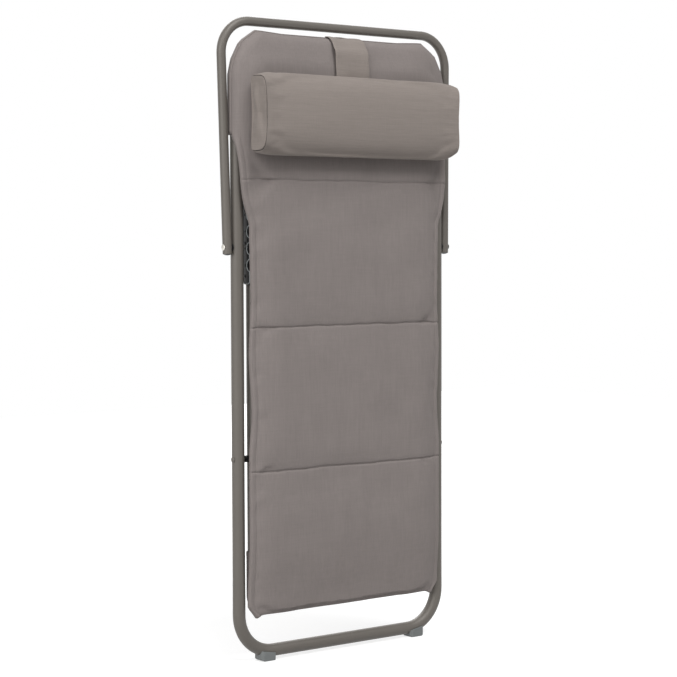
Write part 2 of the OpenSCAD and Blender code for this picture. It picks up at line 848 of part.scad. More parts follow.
module pocket(half_w, low, high, corner_r, tube_r, keep_low, keep_high) {
    inner_r = tube_r + cloth_gap;
    outer_r = inner_r + cloth_t;
    intersection() {
        difference() {
            union() {
                loop_solid(half_w, low, high, corner_r, 2 * outer_r);
                loop_slab(half_w, low, high, corner_r, inner_r - cut, outer_r);
            }
            loop_solid(half_w, low, high, corner_r, 2 * inner_r);
            loop_slab(half_w, low, high, corner_r, -outer_r - cut, inner_r);
        }
        translate([-half_w - outer_r - cut, pad_back_y + lay_gap, keep_low])
            cube([2 * (half_w + outer_r + cut), outer_r - pad_back_y, keep_high - keep_low]);
    }
}

module top_pocket_back() {
    color(cloth_color)
        in_place()
            pocket(long_x, long_bottom_z, long_top_z, long_corner_r, long_r, top_hem_z, pad_top_z + cut);
}

module bottom_pocket_back() {
    color(cloth_color)
        in_place()
            pocket(seat_x, seat_front_z, seat_rear_z, seat_corner_r, seat_r, pad_low_z - cut, bottom_hem_z);
}

// Headrest pillow: a boxed cushion with flat ends

pillow_row_shares = [0, 0.02, 0.07, 0.16, 0.3, 0.5, 0.7, 0.84, 0.93, 0.98, 1];
pillow_column_shares = [-1, -0.96, -0.85, -0.65, -0.35, 0, 0.35, 0.65, 0.85, 0.96, 1];

// Shares of the thickness that the box edges keep, and that the ends lose in depth and height
box_edge_share = 0.3;
end_depth_share = 0.08;
end_height_share = 0.05;
round_power = 2.6;
end_power = 4;

function pillow_round(share) = pow(max(0, 1 - pow(abs(2 * share - 1), round_power)), 1 / round_power);
function pillow_half_t(share, u) =
    pillow_t / 2 * (box_edge_share + (1 - box_edge_share) * pillow_round(share))
    * (1 - end_depth_share * pow(abs(u), end_power));
function pillow_row_z(share, u) =
    pillow_z + pillow_h / 2 + pillow_h * (share - 1 / 2) * (1 - end_height_share * pow(abs(u), end_power));

module headrest_pillow() {
    middle_y = (pillow_front_y + pillow_back_y) / 2;
    rows = [for (k = [len(pillow_row_shares) - 1 : -1 : 0]) pillow_row_shares[k]];
    color(pillow_color)
        in_place()
            quilt(
                [for (share = rows) [for (u = pillow_column_shares)
                    [u * pillow_w / 2, middle_y - pillow_half_t(share, u), pillow_row_z(share, u)]]],
                [for (share = rows) [for (u = pillow_column_shares)
                    [u * pillow_w / 2, middle_y + pillow_half_t(share, u), pillow_row_z(share, u)]]]
            );
}

// Strap: from behind the pillow, over the top bar and down to the counterweight pouch

strap_front_low_z = pillow_z + pillow_h - strap_lap;
strap_rows = [for (z = upper_rows) if (z > strap_front_low_z) z];
strap_turn = 15;

module pillow_strap() {
    inner = concat(
        [for (k = [len(strap_rows) - 1 : -1 : 0]) [front_y(strap_rows[k], 0) - lay_gap, strap_rows[k]]],
        [[front_y(pad_top_z, 0) - lay_gap, pad_top_z + lay_gap], [0, pad_top_z + lay_gap]],
        [for (a = [90 - strap_turn : -strap_turn : 0])
            [strap_back_y * cos(a), long_top_z + strap_back_y * sin(a)]],
        [[strap_back_y, pouch_z + strap_t]]
    );
    outer = concat(
        [[strap_back_y + strap_t, pouch_z + strap_t]],
        [for (a = [0 : strap_turn : 90 - strap_turn])
            [(strap_back_y + strap_t) * cos(a), long_top_z + (strap_back_y + strap_t) * sin(a)]],
        [[0, pad_top_z + lay_gap + strap_t],
            [front_y(pad_top_z, 0) - lay_gap - strap_t / 2, pad_top_z + lay_gap + strap_t]],
        [for (z = strap_rows) [front_y(z, 0) - lay_gap - strap_t, z]]
    );
    color(pillow_color)
        in_place()
            translate([-strap_w / 2, 0, 0])
                rotate([90, 0, 90])
                    linear_extrude(height = strap_w)
                        polygon(concat(inner, outer));
}

// Counterweight: a flat sewn pouch round a steel plate

weight_share = 0.86;
weight_w = pouch_w * weight_share;
weight_h = pouch_h * weight_share;
pouch_shares = [1, 0.97, 0.9, 0.5, 0.1, 0.03, 0];
pouch_edge_share = 0.25;
pouch_power = 8;

function pouch_round(u) = sqrt(max(0, 1 - pow(abs(u), pouch_power)));
function pouch_half_t(share, u) =
    pouch_t / 2 * (pouch_edge_share + (1 - pouch_edge_share) * pouch_round(2 * share - 1) * pouch_round(u));

module weight_block(play) {
    translate([-weight_w / 2 - play, (pouch_front_y + pouch_back_y - weight_t) / 2 - play,
            pouch_z + (pouch_h - weight_h) / 2 - play])
        cube([weight_w + 2 * play, weight_t + 2 * play, weight_h + 2 * play]);
}

module counterweight_pouch() {
    middle_y = (pouch_front_y + pouch_back_y) / 2;
    spread = [for (share = pouch_shares) 1 - 2 * share];
    color(cloth_color)
        in_place()
            difference() {
                quilt(
                    [for (share = pouch_shares) [for (u = spread)
                        [u * pouch_w / 2, middle_y - pouch_half_t(share, u), pouch_z + pouch_h * share]]],
                    [for (share = pouch_shares) [for (u = spread)
                        [u * pouch_w / 2, middle_y + pouch_half_t(share, u), pouch_z + pouch_h * share]]]
                );
                weight_block(lay_gap);
            }
}

module counterweight_plate() {
    color(rivet_color)
        in_place()
            weight_block(0);
}

long_frame();
seat_frame();
prop_frame();
front_foot(-1);  // front_foot_left
front_foot(1);  // front_foot_right
rear_foot(-1);  // rear_foot_left
rear_foot(1);  // rear_foot_right
foot_screws_front();
foot_screws_rear();
rack(-1);  // rack_left
rack(1);  // rack_right
rack_rivets();
seat_pivot_rivet(-1);  // seat_pivot_rivet_left
seat_pivot_rivet(1);  // seat_pivot_rivet_right
seat_pivot_spacer(-1);  // seat_pivot_spacer_left
seat_pivot_spacer(1);  // seat_pivot_spacer_right
prop_pivot_rivet(-1);  // prop_pivot_rivet_left
prop_pivot_rivet(1);  // prop_pivot_rivet_right
prop_pivot_washer(-1);  // prop_pivot_washer_left
prop_pivot_washer(1);  // prop_pivot_washer_right
prop_end_cap(-1);  // prop_end_cap_left
prop_end_cap(1);  // prop_end_cap_right
sling_upper();
sling_fold();
sling_lower();
top_pocket_back();
bottom_pocket_back();
headrest_pillow();
pillow_strap();
counterweight_pouch();
counterweight_plate();
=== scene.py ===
"""Deck chair, folded and upright: padded sling on three tube frames, with a headrest pillow.

Lengths are in millimetres in the shape functions and become metres in make_mesh.
X runs across the chair, Y to its back and Z up. The frames' common plane is at Y = FRAME_Y.
"""

import math

import bpy
import numpy as np
from mathutils import Matrix, Vector


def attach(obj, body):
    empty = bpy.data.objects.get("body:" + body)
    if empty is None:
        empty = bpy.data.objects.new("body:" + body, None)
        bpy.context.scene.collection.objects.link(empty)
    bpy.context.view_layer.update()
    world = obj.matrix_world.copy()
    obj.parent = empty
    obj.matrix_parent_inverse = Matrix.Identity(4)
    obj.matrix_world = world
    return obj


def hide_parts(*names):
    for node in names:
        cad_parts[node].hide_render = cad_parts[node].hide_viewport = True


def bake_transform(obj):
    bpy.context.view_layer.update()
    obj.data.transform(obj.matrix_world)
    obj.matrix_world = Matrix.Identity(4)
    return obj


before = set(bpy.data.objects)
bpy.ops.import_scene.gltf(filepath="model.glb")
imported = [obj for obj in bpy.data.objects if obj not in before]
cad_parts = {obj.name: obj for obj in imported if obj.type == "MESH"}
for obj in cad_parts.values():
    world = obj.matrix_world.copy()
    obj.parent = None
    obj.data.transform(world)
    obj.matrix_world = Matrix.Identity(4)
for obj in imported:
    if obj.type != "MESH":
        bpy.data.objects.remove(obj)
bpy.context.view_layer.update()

MM = 0.001
FRAME_Y = 22.5

# Frames
LONG_X, LONG_TOP, LONG_CORNER = 250.0, 1211.0, 78.0
SEAT_X, SEAT_LOW = 217.5, 106.0

# Sling
SLING_HALF = 238.0
WRAP_LONG = 14.9
WRAP_SEAT = 12.4
LOW_WRAP = 11.2
POCKET_CORNER = 26.0
PAD_BACK = -13.2
PAD_BOW = 7.2
PAD_T = 15.0
HEAD_PAD_T = 19.7
FLANGE_W = 12.0
FLANGE_T = 6.5
CLOTH_T = 2.0
TOP_Z = LONG_TOP + WRAP_LONG
LOW_Z = SEAT_LOW - WRAP_SEAT
TOP_HEM = 1028.0
# Heights, and half the sling's width there: its side hems bulge below each seam and draw in above the next
OUTLINE = (
    (113, 244, 380, 409, 427, 444, 467, 502, 539, 576, 593, 611, 630, 647, 702, 728,
     863, 876, 896, 926, 949, 977, 1028),
    (239, 238.3, 238.3, 238.4, 237, 236, 233, 232.6, 234.9, 237, 238.1, 238.2, 237.3, 235.8, 233.4, 233.9,
     236, 243, 249, 254.5, 256.3, 257.3, 264.9),
)
# Corners of the top pocket's outline, sideways and up from the centre of the tube's bend
TOP_CORNERS = ((-35, 92.6), (33.2, 96.7), (67.6, 74.0), (85.9, 39.9), (92.9, 10), (92.9, -25))
LOW_HEM = 218.0
SEAMS = (942.0, 656.5, 376.0)
CUT_H, CUT_W = 20.0, 18.0


def camera():
    """The camera of the photo, fitted to the tubes' outlines."""
    yaw, pitch, roll = (math.radians(a) for a in (37.088, 2.839, -0.186))
    look = Vector((math.sin(yaw) * math.cos(pitch), math.cos(yaw) * math.cos(pitch), -math.sin(pitch)))
    right = Vector((math.cos(yaw), -math.sin(yaw), 0))
    up = right.cross(look)
    right, up = math.cos(roll) * right + math.sin(roll) * up, math.cos(roll) * up - math.sin(roll) * right
    data = bpy.data.cameras.new("camera")
    data.lens, data.sensor_width = 99.16, 36
    data.clip_end = 50
    obj = bpy.data.objects.new("camera", data)
    bpy.context.scene.collection.objects.link(obj)
    turn = Matrix((right, up, -look)).transposed().to_4x4()
    obj.matrix_world = Matrix.Translation((-2.26574, -2.99039 + FRAME_Y * MM, 0.81381)) @ turn
    bpy.context.scene.camera = obj


camera()

# ---------------------------------------------------------------- materials


def linear(*srgb):
    """A colour written in 0 to 255, as Blender's linear one."""
    shares = [c / 255 for c in srgb]
    return tuple(c / 12.92 if c <= 0.04045 else ((c + 0.055) / 1.055) ** 2.4 for c in shares) + (1.0,)


class Nodes:
    """A short way to write a node tree: add(type, settings, inputs)."""

    def __init__(self, name):
        self.material = bpy.data.materials.new(name)
        self.material.use_nodes = True
        self.tree = self.material.node_tree
        self.shader = self.tree.nodes["Principled BSDF"]

    def add(self, kind, settings=None, **inputs):
        node = self.tree.nodes.new("ShaderNode" + kind)
        for key, value in (settings or {}).items():
            setattr(node, key, value)
        for key, value in inputs.items():
            self.put(node, key.replace("_", " "), value)
        return node

    def put(self, node, key, value):
        socket = node.inputs[int(key[1:])] if key[0] == "i" and key[1:].isdigit() else node.inputs[key]
        if isinstance(value, bpy.types.NodeSocket):
            self.tree.links.new(value, socket)
        else:
            socket.default_value = value

    def math(self, op, a, b=0.0):
        return self.add("Math", {"operation": op}, i0=a, i1=b).outputs[0]

    def noise(self, scale, stretch=(1, 1, 1), detail=2.0, rough=0.5):
        where = self.add("TexCoord").outputs["Object"]
        mapped = self.add("Mapping", Vector=where, Scale=stretch).outputs[0]
        return self.add("TexNoise", Vector=mapped, Scale=scale, Detail=detail, Roughness=rough).outputs[0]

    def wave(self, period, axis, distortion=0.0):
        where = self.add("TexCoord").outputs["Object"]
        node = self.add("TexWave", {"wave_type": "BANDS", "bands_direction": axis, "wave_profile": "SIN"},
                        Vector=where, Scale=math.tau / 20 / period, Distortion=distortion)
        node.inputs["Detail Scale"].default_value = 2.0
        return node.outputs[1]

    def spread(self, value, low, high, to_low=0.0, to_high=1.0):
        node = self.add("MapRange", i0=value, i1=low, i2=high, i3=to_low, i4=to_high)
        return node.outputs[0]

    def tint(self, color, factor):
        """A colour times a value near one."""
        node = self.add("Mix", {"data_type": "RGBA", "blend_type": "MULTIPLY"})
        node.inputs[0].default_value = 1.0
        node.inputs[6].default_value = color
        gray = self.add("CombineColor", i0=factor, i1=factor, i2=factor).outputs[0]
        self.tree.links.new(gray, node.inputs[7])
        return node.outputs[2]

    def finish(self, color, roughness, bump=None, distance=0.0002, strength=1.0, **sockets):
        self.put(self.shader, "Base Color", color)
        self.put(self.shader, "Roughness", roughness)
        for key, value in sockets.items():
            self.put(self.shader, key.replace("_", " "), value)
        if bump is not None:
            node = self.add("Bump", Height=bump, Distance=distance, Strength=strength)
            self.tree.links.new(node.outputs[0], self.shader.inputs["Normal"])
        return self.material


def cloth_material(name, rgb, vertical):
    """Outdoor canvas: a plain weave of slubby yarns. vertical says which way its thicker yarns run."""
    n = Nodes(name)
    fine_z, fine_x = n.noise(1.0, (700, 700, 26), 3.0, 0.6), n.noise(1.0, (26, 26, 700), 3.0, 0.6)
    broad_z, broad_x = n.noise(1.0, (150, 150, 9), 2.0, 0.6), n.noise(1.0, (9, 9, 260), 2.0, 0.6)
    main, cross, streak = (fine_z, fine_x, broad_z) if vertical else (fine_x, fine_z, broad_x)
    cloud = n.noise(7.0, detail=3.0)
    slub = n.math("ADD", n.spread(main, 0.3, 0.7, -0.05, 0.05), n.spread(cross, 0.3, 0.7, -0.03, 0.03))
    wide = n.math("ADD", n.spread(streak, 0.3, 0.7, -0.018, 0.018), n.spread(cloud, 0.3, 0.7, -0.02, 0.02))
    warp, weft = n.wave(0.0016, "X", 0.6), n.wave(0.0016, "Z", 0.6)
    side = n.wave(0.0016, "Y", 0.6)
    weave = n.math("MULTIPLY", n.math("MAXIMUM", warp, side), weft)
    grain = n.math("ADD", n.math("MULTIPLY", weave, 0.5), n.math("MULTIPLY", main, 0.8))
    shade = n.math("ADD", n.math("ADD", slub, wide), n.spread(weave, 0.0, 1.0, 0.97, 1.03))
    return n.finish(n.tint(linear(*rgb), shade), 0.9, grain, 0.0004, 0.5,
                    Sheen_Weight=0.1, Sheen_Roughness=0.5, Specular_IOR_Level=0.2)


def paint_material(name, rgb):
    n = Nodes(name)
    speck = n.noise(900.0, detail=2.0)
    cloud = n.noise(7.0, detail=3.0)
    shade = n.math("ADD", n.spread(cloud, 0.3, 0.7, 0.95, 1.05), n.spread(speck, 0.35, 0.65, -0.02, 0.02))
    rough = n.spread(cloud, 0.3, 0.7, 0.4, 0.5)
    return n.finish(n.tint(linear(*rgb), shade), rough, speck, 0.00008, 0.5, Metallic=0.15)


def plastic_material(name, rgb, roughness, wear=0.06):
    n = Nodes(name)
    grain = n.noise(1400.0, detail=2.0)
    cloud = n.noise(40.0, detail=3.0)
    shade = n.spread(cloud, 0.3, 0.7, 1 - wear, 1 + wear)
    rough = n.spread(grain, 0.3, 0.7, roughness - 0.05, roughness + 0.05)
    return n.finish(n.tint(linear(*rgb), shade), rough, grain, 0.00006, 0.6)


def metal_material(name, rgb, roughness):
    n = Nodes(name)
    brushed = n.noise(1.0, (1800, 1800, 300), 2.0)
    shade = n.spread(brushed, 0.3, 0.7, 0.9, 1.08)
    rough = n.spread(brushed, 0.3, 0.7, roughness - 0.06, roughness + 0.08)
    return n.finish(n.tint(linear(*rgb), shade), rough, brushed, 0.00003, 0.5, Metallic=1.0)


SLING = cloth_material("sling_cloth_look", (137, 129, 126), True)
PILLOW = cloth_material("pillow_cloth_look", (144, 135, 129), False)
THREAD = plastic_material("thread_look", (131, 123, 119), 0.7)
# Dark cord of the pillow's end seams: the seam, darkened with painted shade of its groove
SEAM_SHADE = plastic_material("seam_painted_shade_look", (62, 57, 55), 0.8)
PAINT = paint_material("frame_paint_look", (99, 94, 88))
FOOT = plastic_material("foot_look", (116, 119, 119), 0.55)
RACK = plastic_material("rack_look", (34, 34, 35), 0.38)
# Light grey of the racks' rims: painted highlight along the black racks' edges
RIM_HIGHLIGHT = plastic_material("rack_highlight_rim_look", (168, 173, 173), 0.42)
BLACK = plastic_material("black_plastic_look", (30, 30, 31), 0.45)
RIVET = metal_material("rivet_look", (196, 193, 186), 0.35)
STEEL = metal_material("weight_look", (150, 150, 152), 0.45)

# ---------------------------------------------------------------- mesh helpers


def make_mesh(name, points, faces, material, smooth=True):
    """An object from points in millimetres, in the chair's own frame."""
    mesh = bpy.data.meshes.new(name)
    shifted = (np.asarray(points, float) + (0, FRAME_Y, 0)) * MM
    mesh.from_pydata([tuple(p) for p in shifted], [], [tuple(f) for f in faces])
    mesh.materials.append(material)
    if smooth:
        mesh.shade_smooth()
    mesh.validate()
    obj = bpy.data.objects.new(name, mesh)
    bpy.context.scene.collection.objects.link(obj)
    return obj


def grid_faces(rows, cols, start=0, wrap=False, flip=False):
    """Quads between neighbours of a grid of points, rows first."""
    faces = []
    for i in range(rows - 1):
        for j in range(cols if wrap else cols - 1):
            k, row, above = (j + 1) % cols, start + i * cols, start + (i + 1) * cols
            quad = (row + j, row + k, above + k, above + j)
            faces.append(quad[::-1] if flip else quad)
    return faces


def shell_faces(n, m):
    """Faces of a closed shell: a front grid, a back grid behind it, and the rim between them."""
    faces = grid_faces(n, m) + grid_faces(n, m, n * m, flip=True)
    for i in range(n - 1):
        for j, flip in ((0, False), (m - 1, True)):
            quad = (i * m + j, (i + 1) * m + j, n * m + (i + 1) * m + j, n * m + i * m + j)
            faces.append(quad[::-1] if flip else quad)
    for i, flip in ((0, True), (n - 1, False)):
        for j in range(m - 1):
            quad = (i * m + j, i * m + j + 1, n * m + i * m + j + 1, n * m + i * m + j)
            faces.append(quad[::-1] if flip else quad)
    return faces


def ripples(a, b, wavelength, seed, count=10):
    """Smooth noise of about unit size: a sum of waves in random directions."""
    rng = np.random.default_rng(seed)
    total = np.zeros(np.broadcast(a, b).shape)
    for _ in range(count):
        turn, phase = rng.uniform(0, math.tau, 2)
        length = wavelength * rng.uniform(0.7, 1.5)
        total += np.sin(math.tau / length * (a * math.cos(turn) + b * math.sin(turn)) + phase)
    return total / math.sqrt(count / 2)


def ease(t):
    """A smooth step from 0 to 1."""
    t = np.clip(t, 0, 1)
    return t * t * (3 - 2 * t)


def sew(name, lines, face, pitch=4.4, length=3.1, width=0.7):
    """A row of stitches along each line of points; face is the outward direction of the cloth, front or back."""
    points, faces = [], []
    for line in lines:
        line = np.asarray(line, float)
        along = np.concatenate([[0], np.cumsum(np.linalg.norm(np.diff(line, axis=0), axis=1))])
        starts = np.arange(pitch / 2, along[-1] - length, pitch)
        ends = [np.stack([np.interp(starts + k, along, line[:, axis]) for axis in range(3)], -1)
                for k in (0, length / 2, length)]
        for a, b, c in zip(*ends):
            run = (c - a) / np.linalg.norm(c - a)
            out = np.array([0, face, 0.0]) - run * run[1] * face
            out /= np.linalg.norm(out)
            side = np.cross(run, out) * width / 2
            k = len(points)
            points += [a - out * 0.3, c - out * 0.3, b + side, b - side, b + out * 0.45]
            faces += [(k, k + 4, k + 2), (k + 2, k + 4, k + 1), (k + 1, k + 4, k + 3), (k + 3, k + 4, k),
                      (k, k + 2, k + 1, k + 3)]
    return make_mesh(name, points, faces, THREAD)


def cords(name, loops, radius, material, sides=6):
    """A thin cord along each closed loop of points."""
    points, faces, total = [], [], 0
    for loop in loops:
        run = np.roll(loop, -1, axis=0) - np.roll(loop, 1, axis=0)
        run /= np.linalg.norm(run, axis=1)[:, None]
        out = np.cross(run, (1.0, 0, 0))
        out /= np.linalg.norm(out, axis=1)[:, None]
        other = np.cross(run, out)
        rings = [loop + radius * (math.cos(a) * out + math.sin(a) * other)
                 for a in np.linspace(0, math.tau, sides, endpoint=False)]
        body = np.stack(rings, axis=1)
        n = len(body)
        for i in range(n):
            for j in range(sides):
                k, up = (j + 1) % sides, (i + 1) % n
                faces.append((total + i * sides + j, total + up * sides + j, total + up * sides + k,
                              total + i * sides + k))
        points.append(body.reshape(-1, 3))
        total += n * sides
    return make_mesh(name, np.concatenate(points), faces, material)


# ---------------------------------------------------------------- sling


def outline_half(z):
    """Half the sling's width at a height."""
    z = np.asarray(z, float)
    corner_z = LONG_TOP - LONG_CORNER
    round_r = LONG_CORNER + WRAP_LONG
    arc = LONG_X - LONG_CORNER + np.sqrt(np.clip(round_r ** 2 - (z - corner_z) ** 2, 0, None))
    smooth = sum(np.interp(z + k, *OUTLINE) for k in (-12, -6, 0, 6, 12)) / 5
    out = np.where(z > corner_z, arc, smooth)
    low = np.clip((z - LOW_Z) / CUT_H, 0, 1)
    return np.where(z < LOW_Z + CUT_H, SLING_HALF + 1 - CUT_W * (1 - low) ** 1.35, out)


def corner_stretch(x, z):
    """Points of the top pocket, moved so that its round corners become the sewn ones."""
    u, v = np.abs(x) - (LONG_X - LONG_CORNER), z - (LONG_TOP - LONG_CORNER)
    path = np.array(TOP_CORNERS)
    dense = np.concatenate([path[k] + (path[k + 1] - path[k]) * np.linspace(0, 1, 20, endpoint=False)[:, None]
                            for k in range(len(path) - 1)])
    turn = np.arctan2(dense[:, 1], dense[:, 0])
    size = np.hypot(*dense.T)
    order = np.argsort(turn)
    r, a = np.hypot(u, v), np.arctan2(v, u)
    round_r = LONG_CORNER + WRAP_LONG
    plain = round_r / np.clip(np.where(v < 0, np.cos(a), np.where(u < 0, np.sin(a), 1.0)), 0.05, None)
    sewn = np.interp(a, turn[order], size[order], left=0, right=0)
    ratio = np.where((a > turn.min()) & (a < turn.max()), sewn / plain, 1.0)
    part = ease((r / plain - 0.5) / 0.45)
    scale = 1 + (ratio - 1) * part
    return np.sign(x) * (LONG_X - LONG_CORNER + u * scale), LONG_TOP - LONG_CORNER + v * scale


def outside_path(x, z):
    """Distance of a point outside the centre line of the long frame's upper half."""
    corner_x, corner_z = LONG_X - LONG_CORNER, LONG_TOP - LONG_CORNER
    ax = np.abs(x)
    in_corner = (ax > corner_x) & (z > corner_z)
    round_d = np.hypot(ax - corner_x, z - corner_z) - LONG_CORNER
    flat_d = np.maximum(ax - LONG_X, z - LONG_TOP)
    return np.where(in_corner, round_d, flat_d)


def crown(share, power):
    """A rounded rise and fall across a panel."""
    return 1 - np.abs(2 * np.clip(share, 0, 1) - 1) ** power


def pad_fill(z):
    """Padding above the hem's thickness along the middle of the sling."""
    seam = (LONG_TOP + 6,) + SEAMS + (LOW_Z,)
    out = np.zeros_like(z)
    for k in range(4):
        share = (z - seam[k + 1]) / (seam[k] - seam[k + 1])
        inside = (share >= 0) & (share <= 1)
        full = (HEAD_PAD_T if k == 0 else PAD_T) - FLANGE_T
        # A panel sags a little, so its fullest part lies below its middle; the head's is held up by its pocket
        out = np.where(inside, full * crown(np.clip(share, 0, 1) ** (1.15 if k == 0 else 0.72), 2.6), out)
    for seam_z in SEAMS:
        out = out - 1.8 * np.exp(-np.abs(z - seam_z) / 11)
    return out


def settle(obj):
    """Give an object the mesh that its modifiers make."""
    bpy.context.view_layer.update()
    seen = obj.evaluated_get(bpy.context.evaluated_depsgraph_get())
    mesh = bpy.data.meshes.new_from_object(seen)
    obj.modifiers.clear()
    obj.data = mesh


def read_points(mesh):
    """A mesh's points as an array, in metres."""
    flat = np.empty(len(mesh.vertices) * 3)
    mesh.vertices.foreach_get("co", flat)
    return flat.reshape(-1, 3)


def swell(obj, pressure, frames, pinned=None, spare=0.0, bending=0.3):
    """Where an object's points go under Blender's cloth with air pressure and no gravity, in metres."""
    cloth = obj.modifiers.new("cloth", "CLOTH")
    settings = cloth.settings
    settings.quality, settings.mass = 5, 0.2
    settings.tension_stiffness = settings.compression_stiffness = 15
    settings.shear_stiffness, settings.bending_stiffness = 6, bending
    settings.use_pressure, settings.uniform_pressure_force = True, pressure
    settings.shrink_min = -spare
    settings.effector_weights.gravity = 0
    cloth.collision_settings.use_collision = cloth.collision_settings.use_self_collision = False
    if pinned is not None:
        group = obj.vertex_groups.new(name="pinned")
        group.add([int(k) for k in pinned], 1.0, "REPLACE")
        settings.vertex_group_mass = "pinned"
    cloth.point_cache.frame_start, cloth.point_cache.frame_end = 1, frames
    for step in range(1, frames + 1):
        bpy.context.scene.frame_set(step)
    seen = obj.evaluated_get(bpy.context.evaluated_depsgraph_get())
    points = read_points(seen.data)
    obj.modifiers.clear()
    bpy.context.scene.frame_set(1)
    return points


def quilt_relief():
    """Heights of a flat sheet, sewn down along its seams and hems and swollen as cloth, on a regular grid."""
    xs, zs = np.linspace(-SLING_HALF, SLING_HALF, 61), np.arange(LOW_Z, 1201, 7.8)
    xx, zz = np.meshgrid(xs, zs)
    flat = np.stack([xx, 0 * xx, zz], -1).reshape(-1, 3)
    sheet = make_mesh("relief", flat, grid_faces(len(zs), len(xs), flip=True), SLING)
    held = np.abs(xx) > SLING_HALF - FLANGE_W - 1
    for seam_z in SEAMS:
        held |= np.abs(zz - seam_z) < 4
    held |= (zz < LOW_Z + 9) | (zz > 1192)
    start = read_points(sheet.data)
    start[:, 1] -= np.random.default_rng(5).uniform(0, 0.0004, len(start)) * ~held.ravel()
    sheet.data.vertices.foreach_set("co", start.ravel())
    points = swell(sheet, 2.0, 30, np.flatnonzero(held.ravel()), 0.004, 2.0)
    bpy.data.objects.remove(sheet)
    height = (FRAME_Y * MM - points[:, 1]).reshape(xx.shape) / MM
    for _ in range(2):
        height[1:-1, 1:-1] = (height[1:-1, 1:-1] * 4 + height[:-2, 1:-1] + height[2:, 1:-1]
                              + height[1:-1, :-2] + height[1:-1, 2:]) / 8
    return xs, zs, height / np.percentile(height, 92)


def sample_grid(xs, zs, values, x, z):
    """Values of a regular grid between its points."""
    i = np.clip((z - zs[0]) / (zs[1] - zs[0]), 0, len(zs) - 1.001)
    j = np.clip((x - xs[0]) / (xs[1] - xs[0]), 0, len(xs) - 1.001)
    i0, j0 = i.astype(int), j.astype(int)
    fi, fj = i - i0, j - j0
    low = values[i0, j0] * (1 - fj) + values[i0, j0 + 1] * fj
    high = values[i0 + 1, j0] * (1 - fj) + values[i0 + 1, j0 + 1] * fj
    return low * (1 - fi) + high * fi


def back_line(z):
    """Depth of the sling's back between its side hems."""
    high = PAD_BACK - PAD_BOW * ease((TOP_HEM - z) / (TOP_HEM - SEAMS[0]))
    low = PAD_BACK - PAD_BOW * ease((z - LOW_Z - CUT_H) / (LOW_HEM - LOW_Z))
    return np.where(z > SEAMS[0], high, low)


def sling_front(x, z, half):
    """Depth of the sling's front and back faces at a place."""
    edge = half - np.abs(x)
    wrap = ease((z - 985) / 60)
    hem = np.clip((edge - FLANGE_W) / 62, 0, 1)
    fill = pad_fill(z) * (1 - (1 - hem) ** 2.4)
    if RELIEF is not None:
        swollen = sample_grid(*RELIEF, x, z) * np.where(z > SEAMS[0], HEAD_PAD_T - FLANGE_T, PAD_T - FLANGE_T)
        trust = 0.55 * ease((1190 - z) / 30) * np.clip((edge - 10) / 50, 0.15, 1)
        fill = fill + (np.clip(swollen, 0, 13) - fill) * trust
    rim = np.sqrt(np.clip(1 - (1 - np.clip(edge / 3.2, 0, 1)) ** 2, 0, 1))
    flange = FLANGE_T * (rim * (1 - wrap) + wrap)
    thick = flange + fill
    # Stitched side hem
    thick -= 1.1 * np.exp(-((edge - FLANGE_W) / 1.6) ** 2) * (1 - wrap)
    # Quilting seams, with puckers that die out away from them
    for k, seam_z in enumerate(SEAMS):
        off = z - seam_z - 0.7 * ripples(x, 0 * x, 60, 40 + k)
        thick -= 1.9 * np.exp(-(off / 1.7) ** 2)
        pucker = ripples(x, 0.3 * z, 34, 50 + k)
        thick += 0.45 * pucker * np.exp(-np.abs(off + 3) / 15) * np.clip(edge / 20, 0, 1)
    hem_pucker = ripples(0.5 * x, z + 0.6 * np.abs(x), 34, 61)
    thick += 0.5 * hem_pucker * np.exp(-((edge - 16) / 16) ** 2) * (1 - wrap)
    thick += 0.55 * ripples(x, z, 130, 70) * np.clip(edge / 60, 0, 1)
    thick += 0.28 * ripples(x, z * 0.6, 48, 71) * np.clip(edge / 40, 0, 1)
    thick = np.maximum(thick, 1.6 * (rim * (1 - wrap) + wrap))
    back = back_line(z) - (FLANGE_T / 2) * (1 - rim) * (1 - wrap)
    # The seams and the side hems show on the back too
    for seam_z in SEAMS:
        back = back - 1.5 * np.exp(-((z - seam_z) / 2.2) ** 2) - 0.8 * np.exp(-np.abs(z - seam_z) / 14)
    hem_line = 0.9 * np.exp(-((edge - FLANGE_W) / 1.8) ** 2)
    back = back - (hem_line + 0.25 * (1 + ripples(x, 0.7 * z, 80, 72))) * (1 - wrap)
    front = back_line(z) - thick
    # Round the tube where the pocket wraps it
    d = np.clip(outside_path(x, z) / WRAP_LONG, 0, 1)
    round_f = np.sqrt(np.clip(1 - d ** 2, 0, 1))
    inner = WRAP_LONG - CLOTH_T
    d_in = np.clip(outside_path(x, z) / inner, 0, 1)
    back_w = np.where(d > 0, -inner * np.sqrt(np.clip(1 - d_in ** 2, 0, 1)), back)
    front = np.where(d > 0, front * round_f * wrap + front * (1 - wrap), front)
    back = np.where(d > 0, back_w * wrap + back * (1 - wrap), back)
    return front, np.maximum(back, front + 0.02)


